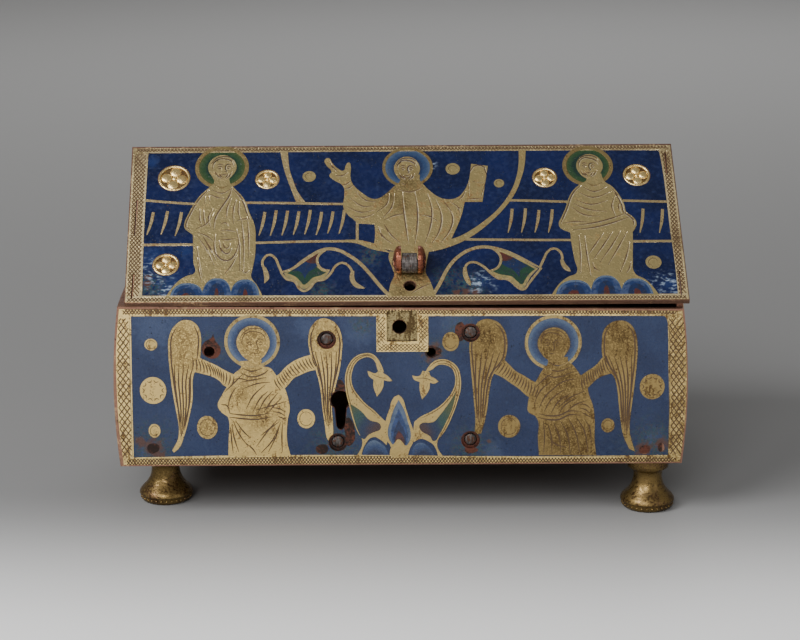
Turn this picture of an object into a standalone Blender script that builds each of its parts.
"""Gabled casket of gilded copper plates with enamel fused into them.

Five plates make the box, which stands on four turned feet. Two roof plates on
two gables make the lid: it only rests on the box and lifts off. The gables'
tenons pass through slots in the roof. X runs along the casket, the front faces
-Y, Z is up, and the origin is on the ground under the middle of the box.
"""

import math

import bmesh
import bpy
from mathutils import Matrix

MM = 0.001

# Fits
FIT_GAP = 0.3 * MM
RIDGE_GAP = 0.3 * MM
CUT_MARGIN = 1.0 * MM

# Box plates
BOX_HEIGHT = 52.4 * MM
BOX_DEPTH = 90.0 * MM
TOP_LENGTH = 176.4 * MM
BOTTOM_SPREAD = 1.8 * MM
BOTTOM_LENGTH = TOP_LENGTH + BOTTOM_SPREAD
SIDE_BULGE = 1.65 * MM
PLAN_BULGE = 0.8 * MM
FRONT_EDGE_FALL = 1.8 * MM
WALL_THICKNESS = 2.2 * MM
END_THICKNESS = 2.0 * MM
FLOOR_THICKNESS = 1.8 * MM

# Lid plates
LID_SHORTNESS = 0.7 * MM
LID_LENGTH = TOP_LENGTH - LID_SHORTNESS
LID_SHIFT = 2.1 * MM
LID_LEAN = -1.35 * MM
LID_PITCH = math.radians(41.2)
ROOF_OVERHANG = 1.6 * MM
ROOF_THICKNESS = 1.8 * MM
GABLE_THICKNESS = 1.4 * MM
GABLE_INSET = 2.4 * MM
TENON_SINK = 0.1 * MM
LEFT_TENONS = ((2.0 * MM, 11.0 * MM), (26.0 * MM, 40.0 * MM))
RIGHT_TENONS = ((2.0 * MM, 11.0 * MM), (49.5 * MM, 58.0 * MM))

# Feet: end inset and face inset from the box's lower corners
FOOT_HEIGHT = 17.5 * MM
FOOT_INSETS = {
    "foot_front_left": (-1, -1, 12.1 * MM, 19.5 * MM),
    "foot_front_right": (1, -1, 9.6 * MM, 9.7 * MM),
    "foot_back_left": (-1, 1, 11.1 * MM, 12.5 * MM),
    "foot_back_right": (1, 1, 11.1 * MM, 12.5 * MM),
}
FOOT_FLANGE_RADIUS = 6.6 * MM
FOOT_FLANGE_HEIGHT = 1.9 * MM
FOOT_NECK_RADIUS = 4.1 * MM
FOOT_NECK_HEIGHT = 11.0 * MM
FOOT_FLARE_RADIUS = 8.7 * MM
FOOT_FLARE_HEIGHT = 4.4 * MM
FOOT_RIM_HEIGHT = 3.0 * MM
FOOT_BASE_RADIUS = 7.0 * MM
FOOT_STEM_RADIUS = 2.2 * MM
FOOT_PEEN_RADIUS = 3.6 * MM
FOOT_PEEN_HEIGHT = 1.1 * MM

# Lock plate's seat, keyhole and nail holes in the front, from its middle and lower edge
LOCK_SEAT_MIDDLE = 0.5 * MM
LOCK_SEAT_WIDTH = 9.6 * MM
LOCK_SEAT_FLOOR = 40.6 * MM
LOCK_SEAT_TOP = 50.6 * MM
LOCK_SEAT_DEPTH = 0.6 * MM
KEYHOLE_MIDDLE = (-19.0 * MM, 21.5 * MM)
KEYHOLE_RADIUS = 3.1 * MM
KEYHOLE_DROP = 9.6 * MM
KEYHOLE_SLOT_TOP = 3.6 * MM
KEYHOLE_SLOT_BOTTOM = 2.6 * MM
FRONT_HOLES = {
    "staple_hole": (-0.3 * MM, 45.2 * MM, 2.2 * MM),
    "nail_hole_left": (-59.9 * MM, 37.6 * MM, 1.7 * MM),
    "nail_hole_right": (9.6 * MM, 37.0 * MM, 1.5 * MM),
}

# Iron rivets that once held the lock
RIVET_PLACES = {
    "lock_rivet_upper_left": (-23.1 * MM, 41.3 * MM),
    "lock_rivet_lower_left": (-20.0 * MM, 7.6 * MM),
    "lock_rivet_upper_right": (21.9 * MM, 43.3 * MM),
    "lock_rivet_lower_right": (22.0 * MM, 8.1 * MM),
}
RIVET_RADIUS = 1.8 * MM
RIVET_DOME = 0.4 * MM
RIVET_SINK = 0.3 * MM
RIVET_SEAT_RADIUS = 2.8 * MM
RIVET_SEAT_DEPTH = 0.9 * MM
RIVET_PEEN_RADIUS = 2.6 * MM
RIVET_PEEN_HEIGHT = 0.9 * MM

# Hasp lugs, hasp pin and hole on the lid, from the middle and up the slope
HASP_MIDDLE = 3.0 * MM
HASP_GAP = 5.3 * MM
LUG_SLOPE = 13.9 * MM
LUG_LIFT = 3.0 * MM
LUG_RADIUS = 4.4 * MM
LUG_THICKNESS = 2.5 * MM
LUG_RIM = 0.8 * MM
PIN_SLOPE = 12.4 * MM
PIN_RADIUS = 3.15 * MM
PIN_LIFT = PIN_RADIUS + FIT_GAP
PIN_JOURNAL_RADIUS = 1.2 * MM
PIN_JOURNAL_LENGTH = 1.8 * MM
LID_HOLE = (3.05 * MM, 6.0 * MM, 1.85 * MM)

# Quatrefoils punched into the lid's front: middle, way up the slope, radius
ROSETTES = (
    (-72.7 * MM, 48.9 * MM, 5.2 * MM),
    (-42.7 * MM, 48.2 * MM, 3.9 * MM),
    (-73.5 * MM, 14.7 * MM, 4.2 * MM),
    (46.9 * MM, 48.3 * MM, 4.0 * MM),
    (76.5 * MM, 49.1 * MM, 4.4 * MM),
)
ROSETTE_DEPTH = 0.5 * MM
LOBE_PLACE = 0.5
LOBE_SIZE = 0.32
LOBE_SINK = 1.25
LOBE_HEIGHT = 1.15

# Fineness of the round shapes
HOLE_SIDES = 24
FOOT_STEPS = 24
LUG_STEPS = 20
RIVET_STEPS = 14
SIDE_STEPS = 10
DEPTH_STEPS = 6

# Levels and planes worked out from the sizes above
BOX_BOTTOM = FOOT_HEIGHT
BOX_TOP = BOX_BOTTOM + BOX_HEIGHT
FRONT_FACE = -BOX_DEPTH / 2
WALL_INNER = BOX_DEPTH / 2 - WALL_THICKNESS
EAVES_Y = FRONT_FACE - ROOF_OVERHANG
SEAT_OFFSET = ROOF_THICKNESS + FIT_GAP
EAVES_Z = BOX_TOP + (SEAT_OFFSET - ROOF_OVERHANG * math.sin(LID_PITCH)) / math.cos(LID_PITCH)
ROOF_RISE = -EAVES_Y * math.tan(LID_PITCH)
GABLE_MIDDLE = LID_LENGTH / 2 - GABLE_INSET - GABLE_THICKNESS / 2
GABLE_FOOT = BOX_TOP + FIT_GAP

# Axes for outlines drawn flat: upright facing the front, and end-on along X
UPRIGHT = Matrix.Rotation(math.pi / 2, 4, "X")
END_ON = Matrix(((0, 0, 1, 0), (1, 0, 0, 0), (0, 1, 0, 0), (0, 0, 0, 1)))
HALF_TURN = Matrix.Rotation(math.pi, 4, "Z")


def clear_scene():
    for item in list(bpy.data.objects):
        bpy.data.objects.remove(item, do_unlink=True)


def new_collection(name):
    collection = bpy.data.collections.new(name)
    bpy.context.scene.collection.children.link(collection)
    return collection


clear_scene()
CASKET = new_collection("reliquary_casket")
CUTTERS = new_collection("cutters")


def metal(name, colour, roughness, metallic=1.0):
    material = bpy.data.materials.new(name)
    material.use_nodes = True
    shader = material.node_tree.nodes["Principled BSDF"]
    shader.inputs["Base Color"].default_value = (*colour, 1.0)
    shader.inputs["Roughness"].default_value = roughness
    shader.inputs["Metallic"].default_value = metallic
    return material


GILT = metal("gilded_copper", (0.62, 0.46, 0.24), 0.38)
LID_ENAMEL = metal("dark_blue_enamel", (0.012, 0.035, 0.13), 0.22, 0.0)
BOX_ENAMEL = metal("blue_enamel", (0.03, 0.075, 0.21), 0.22, 0.0)
COPPER = metal("bare_copper", (0.35, 0.19, 0.12), 0.5)
IRON = metal("dark_iron", (0.05, 0.04, 0.035), 0.6)


def add_part(name, mesh, material):
    """Put a finished mesh in the casket's collection."""
    part = bpy.data.objects.new(name, mesh)
    mesh.materials.append(material)
    CASKET.objects.link(part)
    return part


def add_cutter(name, mesh):
    cutter = bpy.data.objects.new(name, mesh)
    cutter.hide_render = True
    cutter.display_type = "WIRE"
    CUTTERS.objects.link(cutter)
    return cutter


def cut(part, cutter):
    """Take a cutter out of a part with a live Boolean."""
    boolean = part.modifiers.new(cutter.name, "BOOLEAN")
    boolean.operation = "DIFFERENCE"
    boolean.solver = "EXACT"
    boolean.object = cutter


def smooth(mesh, angle=40):
    mesh.shade_smooth()
    mesh.set_sharp_from_angle(angle=math.radians(angle))


def plate_mesh(name, outline, thickness, matrix):
    """Extrude a flat outline evenly to both sides of its plane and place it."""
    curve = bpy.data.curves.new(name, "CURVE")
    curve.dimensions = "2D"
    curve.fill_mode = "BOTH"
    curve.extrude = thickness / 2
    spline = curve.splines.new("POLY")
    spline.points.add(len(outline) - 1)
    for point, (across, up) in zip(spline.points, outline):
        point.co = (across, up, 0, 1)
    spline.use_cyclic_u = True
    drawn = bpy.data.objects.new(name + "_outline", curve)
    bpy.context.scene.collection.objects.link(drawn)
    depsgraph = bpy.context.evaluated_depsgraph_get()
    mesh = bpy.data.meshes.new_from_object(drawn.evaluated_get(depsgraph))
    bpy.data.objects.remove(drawn, do_unlink=True)
    shape = bmesh.new()
    shape.from_mesh(mesh)
    bmesh.ops.remove_doubles(shape, verts=shape.verts, dist=0.001 * MM)
    bmesh.ops.transform(shape, matrix=matrix, verts=shape.verts)
    bmesh.ops.recalc_face_normals(shape, faces=shape.faces)
    shape.to_mesh(mesh)
    shape.free()
    mesh.name = name
    return mesh


def rod_mesh(name, radius, length, matrix, top_radius=None):
    """A round rod, or a cone, centred on its own Z axis."""
    shape = bmesh.new()
    bmesh.ops.create_cone(
        shape, cap_ends=True, segments=HOLE_SIDES, radius1=radius,
        radius2=radius if top_radius is None else top_radius,
        depth=length, matrix=matrix)
    mesh = bpy.data.meshes.new(name)
    shape.to_mesh(mesh)
    shape.free()
    return mesh


def block_mesh(name, size, matrix):
    shape = bmesh.new()
    bmesh.ops.create_cube(shape, size=1.0)
    bmesh.ops.scale(shape, vec=size, verts=shape.verts)
    bmesh.ops.transform(shape, matrix=matrix, verts=shape.verts)
    mesh = bpy.data.meshes.new(name)
    shape.to_mesh(mesh)
    shape.free()
    return mesh


def turned_part(name, profile, steps, matrix, material):
    """Turn a profile of (radius, height) points, top to bottom, round its axis."""
    mesh = bpy.data.meshes.new(name)
    points = [(radius, 0, height) for radius, height in profile]
    edges = [(i, i + 1) for i in range(len(points) - 1)]
    mesh.from_pydata(points, edges, [])
    part = add_part(name, mesh, material)
    part.matrix_world = matrix
    screw = part.modifiers.new("turn", "SCREW")
    screw.axis = "Z"
    screw.angle = math.tau
    screw.steps = steps
    screw.render_steps = steps
    screw.use_smooth_shade = True
    screw.use_merge_vertices = True
    screw.merge_threshold = 0.01 * MM
    return part


def arc(middle, radius, start, end, steps):
    """Points on an arc, its ends included."""
    turns = [start + (end - start) * i / steps for i in range(steps + 1)]
    return [(middle[0] + radius * math.cos(a), middle[1] + radius * math.sin(a)) for a in turns]


def spread(start, end, steps):
    return [start + (end - start) * i / steps for i in range(steps + 1)]


# The box: its ends swell a little, up their height and across the depth

def half_length(height):
    share = height / BOX_HEIGHT
    straight = BOTTOM_LENGTH / 2 + (TOP_LENGTH - BOTTOM_LENGTH) / 2 * share
    return straight + 4 * SIDE_BULGE * share * (1 - share)


def plan_bulge(depth_place):
    return PLAN_BULGE * (1 - (2 * depth_place / BOX_DEPTH) ** 2)


def wall_outline(right_fall):
    """Outline of a long wall, its top edge falling to the right."""
    right = [(half_length(h), h) for h in spread(0, BOX_HEIGHT - right_fall, SIDE_STEPS)]
    left = [(-half_length(h), h) for h in spread(BOX_HEIGHT, 0, SIDE_STEPS)]
    return right + left


def front_matrix(x, height, y=FRONT_FACE):
    """Frame of a feature on the front: its Z points out of the wall."""
    return Matrix.Translation((x, y, BOX_BOTTOM + height)) @ UPRIGHT


def keyhole_outline():
    mouth = math.asin(KEYHOLE_SLOT_TOP / 2 / KEYHOLE_RADIUS)
    eye = arc((0, 0), KEYHOLE_RADIUS, mouth - math.pi / 2, 1.5 * math.pi - mouth, 16)
    tip_radius = KEYHOLE_SLOT_BOTTOM / 2
    tip = arc((0, tip_radius - KEYHOLE_DROP), tip_radius, math.pi, math.tau, 6)
    return eye + tip


def make_box_plates():
    wall_shift = BOX_DEPTH / 2 - WALL_THICKNESS / 2
    front_place = Matrix.Translation((0, -wall_shift, BOX_BOTTOM)) @ UPRIGHT
    back_place = Matrix.Translation((0, wall_shift, BOX_BOTTOM)) @ UPRIGHT
    front_mesh = plate_mesh(
        "box_front_plate", wall_outline(FRONT_EDGE_FALL), WALL_THICKNESS, front_place)
    back_mesh = plate_mesh("box_back_plate", wall_outline(0), WALL_THICKNESS, back_place)
    front = add_part("box_front_plate", front_mesh, BOX_ENAMEL)
    add_part("box_back_plate", back_mesh, BOX_ENAMEL)
    make_end_plate("box_left_plate", -1)
    make_end_plate("box_right_plate", 1)
    make_floor()
    cut_front(front)


def make_end_plate(name, side):
    """A short wall between the long ones, hammered to a slight dome."""
    reach = WALL_INNER - FIT_GAP
    shape = bmesh.new()
    bmesh.ops.create_grid(shape, x_segments=DEPTH_STEPS, y_segments=SIDE_STEPS, size=1.0)
    for vertex in shape.verts:
        depth_place = vertex.co.x * reach
        height = (vertex.co.y + 1) / 2 * BOX_HEIGHT
        x = side * (half_length(height) + plan_bulge(depth_place))
        vertex.co = (x, depth_place, BOX_BOTTOM + height)
    shape.normal_update()
    if shape.faces[:][0].normal.x * side < 0:
        bmesh.ops.reverse_faces(shape, faces=shape.faces)
    mesh = bpy.data.meshes.new(name)
    shape.to_mesh(mesh)
    shape.free()
    smooth(mesh)
    plate = add_part(name, mesh, BOX_ENAMEL)
    solidify = plate.modifiers.new("thickness", "SOLIDIFY")
    solidify.thickness = END_THICKNESS
    solidify.offset = -1


def foot_place(name):
    """Where a foot stands, from its insets."""
    end_side, face_side, end_inset, face_inset = FOOT_INSETS[name]
    return end_side * (BOTTOM_LENGTH / 2 - end_inset), face_side * (BOX_DEPTH / 2 - face_inset)


def make_floor():
    reach = WALL_INNER - FIT_GAP
    inner = half_length(0) - END_THICKNESS - FIT_GAP
    right = [(inner + plan_bulge(y), y) for y in spread(-reach, reach, DEPTH_STEPS)]
    left = [(-x, y) for x, y in reversed(right)]
    place = Matrix.Translation((0, 0, BOX_BOTTOM + FLOOR_THICKNESS / 2))
    mesh = plate_mesh("box_floor_plate", right + left, FLOOR_THICKNESS, place)
    floor = add_part("box_floor_plate", mesh, COPPER)
    length = FLOOR_THICKNESS + 2 * CUT_MARGIN
    for name in FOOT_INSETS:
        x, y = foot_place(name)
        stem_place = Matrix.Translation((x, y, BOX_BOTTOM + FLOOR_THICKNESS / 2))
        hole = rod_mesh(name + "_stem_hole", FOOT_STEM_RADIUS + FIT_GAP, length, stem_place)
        cut(floor, add_cutter(name + "_stem_hole", hole))


def cut_front(front):
    """The lock's sunk seat, the keyhole, the nail holes and the rivet holes."""
    seat_height = LOCK_SEAT_TOP - LOCK_SEAT_FLOOR
    seat_size = (LOCK_SEAT_WIDTH, seat_height, 2 * LOCK_SEAT_DEPTH)
    seat_place = front_matrix(LOCK_SEAT_MIDDLE, LOCK_SEAT_FLOOR + seat_height / 2)
    cut(front, add_cutter("lock_seat", block_mesh("lock_seat", seat_size, seat_place)))
    through = WALL_THICKNESS + 2 * CUT_MARGIN
    middle = FRONT_FACE + WALL_THICKNESS / 2
    key_place = front_matrix(*KEYHOLE_MIDDLE, y=middle)
    cut(front, add_cutter("keyhole", plate_mesh("keyhole", keyhole_outline(), through, key_place)))
    for name, (x, height, radius) in FRONT_HOLES.items():
        hole = rod_mesh(name, radius, through, front_matrix(x, height, y=middle))
        cut(front, add_cutter(name, hole))
    for name, (x, height) in RIVET_PLACES.items():
        hole = rod_mesh(
            name + "_hole", RIVET_RADIUS + FIT_GAP, through, front_matrix(x, height, y=middle))
        cut(front, add_cutter(name + "_hole", hole))
        seat = rod_mesh(
            name + "_seat", RIVET_SEAT_RADIUS, 2 * RIVET_SEAT_DEPTH, front_matrix(x, height))
        cut(front, add_cutter(name + "_seat", seat))


def make_feet():
    """Turned spools whose stems are peened over the floor plate inside."""
    top = FOOT_HEIGHT - FIT_GAP
    flange = top - FOOT_FLANGE_HEIGHT
    flare_run = spread(0, math.pi / 2, 4)
    waist = FOOT_NECK_HEIGHT - FOOT_FLARE_HEIGHT
    sweep = FOOT_FLARE_RADIUS - FOOT_NECK_RADIUS
    peen = BOX_BOTTOM + FLOOR_THICKNESS + FIT_GAP
    profile = [(0, peen + FOOT_PEEN_HEIGHT)]
    profile.append((FOOT_PEEN_RADIUS * 0.6, peen + FOOT_PEEN_HEIGHT))
    profile.append((FOOT_PEEN_RADIUS, peen + FOOT_PEEN_HEIGHT * 0.4))
    profile.append((FOOT_PEEN_RADIUS, peen))
    profile.append((FOOT_STEM_RADIUS, peen))
    profile.append((FOOT_STEM_RADIUS, top))
    profile.append((FOOT_FLANGE_RADIUS, top))
    profile.append((FOOT_FLANGE_RADIUS, top - FOOT_FLANGE_HEIGHT * 0.4))
    profile.append(((FOOT_FLANGE_RADIUS + FOOT_NECK_RADIUS) / 2, flange))
    profile.append((FOOT_NECK_RADIUS, (flange + FOOT_NECK_HEIGHT) / 2))
    for turn in flare_run:
        radius = FOOT_NECK_RADIUS + sweep * (1 - math.cos(turn)) ** 0.8
        profile.append((radius, FOOT_FLARE_HEIGHT + waist * (1 - math.sin(turn))))
    profile.append((FOOT_FLARE_RADIUS * 0.95, FOOT_RIM_HEIGHT))
    profile.append((FOOT_FLARE_RADIUS * 0.93, FOOT_RIM_HEIGHT * 0.5))
    profile.append((FOOT_BASE_RADIUS, 0))
    profile.append((0, 0))
    for name in FOOT_INSETS:
        place = Matrix.Translation((*foot_place(name), 0))
        turned_part(name, profile, FOOT_STEPS, place, GILT)


def make_rivets():
    inner_face = -WALL_THICKNESS - FIT_GAP
    head = -RIVET_SINK
    profile = [(0, head), (RIVET_RADIUS * 0.7, head - RIVET_DOME * 0.35)]
    profile.append((RIVET_RADIUS, head - RIVET_DOME))
    profile.append((RIVET_RADIUS, inner_face))
    profile.append((RIVET_PEEN_RADIUS, inner_face))
    profile.append((RIVET_PEEN_RADIUS * 0.7, inner_face - RIVET_PEEN_HEIGHT))
    profile.append((0, inner_face - RIVET_PEEN_HEIGHT))
    for name, (x, height) in RIVET_PLACES.items():
        turned_part(name, profile, RIVET_STEPS, front_matrix(x, height), IRON)


# The lid: heights up the slope are measured from the eaves, along the roof's outer face

def roof_matrix(x, slope, lift=0.0):
    """Frame of a place on the front roof: X along, Y up the slope, Z outward."""
    tilt = Matrix.Rotation(LID_PITCH, 4, "X")
    eaves = Matrix.Translation((x, EAVES_Y, EAVES_Z))
    return eaves @ tilt @ Matrix.Translation((0, slope, lift))


def roof_point(slope, lift):
    """A place on the front roof as (y, z)."""
    place = roof_matrix(0, slope, lift).translation
    return place.y, place.z


def lean(mesh):
    """Shift a lid mesh to its seat and let it lean to the left towards the ridge."""
    for vertex in mesh.vertices:
        vertex.co.x += LID_SHIFT + LID_LEAN * (vertex.co.z - EAVES_Z) / ROOF_RISE
    return mesh


def mirrored(points):
    return [(-y, z) for y, z in points]


def roof_outline():
    """Section of a front roof plate, mitred upright at the ridge."""
    run = -EAVES_Y - RIDGE_GAP / 2
    outer = run / math.cos(LID_PITCH)
    inner = (run - ROOF_THICKNESS * math.sin(LID_PITCH)) / math.cos(LID_PITCH)
    corners = ((0, 0), (outer, 0), (inner, -ROOF_THICKNESS), (0, -ROOF_THICKNESS))
    return [roof_point(slope, lift) for slope, lift in corners]


def gable_outline(tenons):
    """A gable's front half from its foot to its top, then the back half."""
    seat = -SEAT_OFFSET
    foot_slope = (GABLE_FOOT - roof_point(0, seat)[1]) / math.sin(LID_PITCH)
    top_slope = -roof_point(0, seat)[0] / math.cos(LID_PITCH)
    front = [roof_point(foot_slope, seat)]
    for start, end in tenons:
        front += [roof_point(start, seat), roof_point(start, -TENON_SINK)]
        front += [roof_point(end, -TENON_SINK), roof_point(end, seat)]
    return front + [roof_point(top_slope, seat)] + list(reversed(mirrored(front)))


def make_lid_plates():
    outline = roof_outline()
    front_mesh = lean(plate_mesh("lid_front_plate", outline, LID_LENGTH, END_ON))
    back_mesh = lean(plate_mesh("lid_back_plate", mirrored(outline), LID_LENGTH, END_ON))
    front = add_part("lid_front_plate", front_mesh, LID_ENAMEL)
    back = add_part("lid_back_plate", back_mesh, LID_ENAMEL)
    for name, side, tenons in (("left", -1, LEFT_TENONS), ("right", 1, RIGHT_TENONS)):
        x = side * GABLE_MIDDLE
        place = Matrix.Translation((x, 0, 0)) @ END_ON
        gable_name = "lid_" + name + "_gable"
        gable_mesh = lean(plate_mesh(gable_name, gable_outline(tenons), GABLE_THICKNESS, place))
        add_part(gable_name, gable_mesh, BOX_ENAMEL)
        for number, (start, end) in enumerate(tenons):
            slot_name = name + "_slot_" + str(number)
            size = (GABLE_THICKNESS + 2 * FIT_GAP, end - start + 2 * FIT_GAP,
                    2 * (ROOF_THICKNESS + CUT_MARGIN))
            front_place = roof_matrix(x, (start + end) / 2)
            back_place = HALF_TURN @ roof_matrix(-x, (start + end) / 2)
            front_slot = lean(block_mesh(slot_name + "_front", size, front_place))
            back_slot = lean(block_mesh(slot_name + "_back", size, back_place))
            cut(front, add_cutter(slot_name + "_front", front_slot))
            cut(back, add_cutter(slot_name + "_back", back_slot))
    x, slope, radius = LID_HOLE
    hole = rod_mesh("lid_hole", radius, 2 * (ROOF_THICKNESS + CUT_MARGIN), roof_matrix(x, slope))
    cut(front, add_cutter("lid_hole", hole))
    cut_rosettes(front)


def cut_rosettes(roof):
    """Sink a round dish for each quatrefoil and leave its four lobes standing."""
    for number, (x, slope, radius) in enumerate(ROSETTES):
        place = roof_matrix(x, slope)
        name = "rosette_" + str(number)
        dish = add_cutter(name, rod_mesh(name, radius, 2 * ROSETTE_DEPTH, place))
        shape = bmesh.new()
        for turn in range(4):
            reach = Matrix.Rotation(turn * math.pi / 2, 4, "Z") @ Matrix.Translation(
                (0, LOBE_PLACE * radius, -LOBE_SINK * ROSETTE_DEPTH))
            round_size = (LOBE_SIZE * radius, LOBE_SIZE * radius, LOBE_HEIGHT * ROSETTE_DEPTH)
            bmesh.ops.create_uvsphere(
                shape, u_segments=10, v_segments=6, radius=1.0,
                matrix=place @ reach @ Matrix.Diagonal((*round_size, 1)))
        mesh = bpy.data.meshes.new(name + "_lobes")
        shape.to_mesh(mesh)
        shape.free()
        cut(dish, add_cutter(name + "_lobes", mesh))
        cut(roof, dish)


def make_hasp():
    """Two lugs like half lenses, and what is left of the iron hasp between them."""
    dome = [(LUG_RADIUS * math.sin(a), LUG_RIM + (LUG_THICKNESS - LUG_RIM) * math.cos(a))
            for a in spread(0, math.pi / 2, 4)]
    profile = dome + [(LUG_RADIUS, 0), (0, 0)]
    foot_cut = block_mesh("lug_foot", (8 * LUG_THICKNESS, 4 * LUG_RADIUS, 2 * LUG_RADIUS),
                          roof_matrix(HASP_MIDDLE, LUG_SLOPE, FIT_GAP - LUG_RADIUS))
    foot_cutter = add_cutter("lug_foot", foot_cut)
    sideways = Matrix.Rotation(math.pi / 2, 4, "Y")
    bore_place = roof_matrix(HASP_MIDDLE, PIN_SLOPE, PIN_LIFT) @ sideways
    bore_length = HASP_GAP + 4 * LUG_THICKNESS
    bore = rod_mesh("pin_bore", PIN_JOURNAL_RADIUS + FIT_GAP, bore_length, bore_place)
    bore_cutter = add_cutter("pin_bore", bore)
    for name, side in (("hasp_lug_left", -1), ("hasp_lug_right", 1)):
        place = roof_matrix(HASP_MIDDLE + side * HASP_GAP / 2, LUG_SLOPE, LUG_LIFT)
        turn = Matrix.Rotation(side * math.pi / 2, 4, "Y")
        lug = turned_part(name, profile, LUG_STEPS, place @ turn, COPPER)
        cut(lug, foot_cutter)
        cut(lug, bore_cutter)
    barrel = HASP_GAP / 2 - FIT_GAP
    end = HASP_GAP / 2 + PIN_JOURNAL_LENGTH
    half = [(0, end), (PIN_JOURNAL_RADIUS, end), (PIN_JOURNAL_RADIUS, barrel), (PIN_RADIUS, barrel)]
    pin_profile = half + [(radius, -height) for radius, height in reversed(half)]
    turned_part("hasp_pin", pin_profile, LUG_STEPS, bore_place, IRON)


make_box_plates()
make_feet()
make_rivets()
make_lid_plates()
make_hasp()
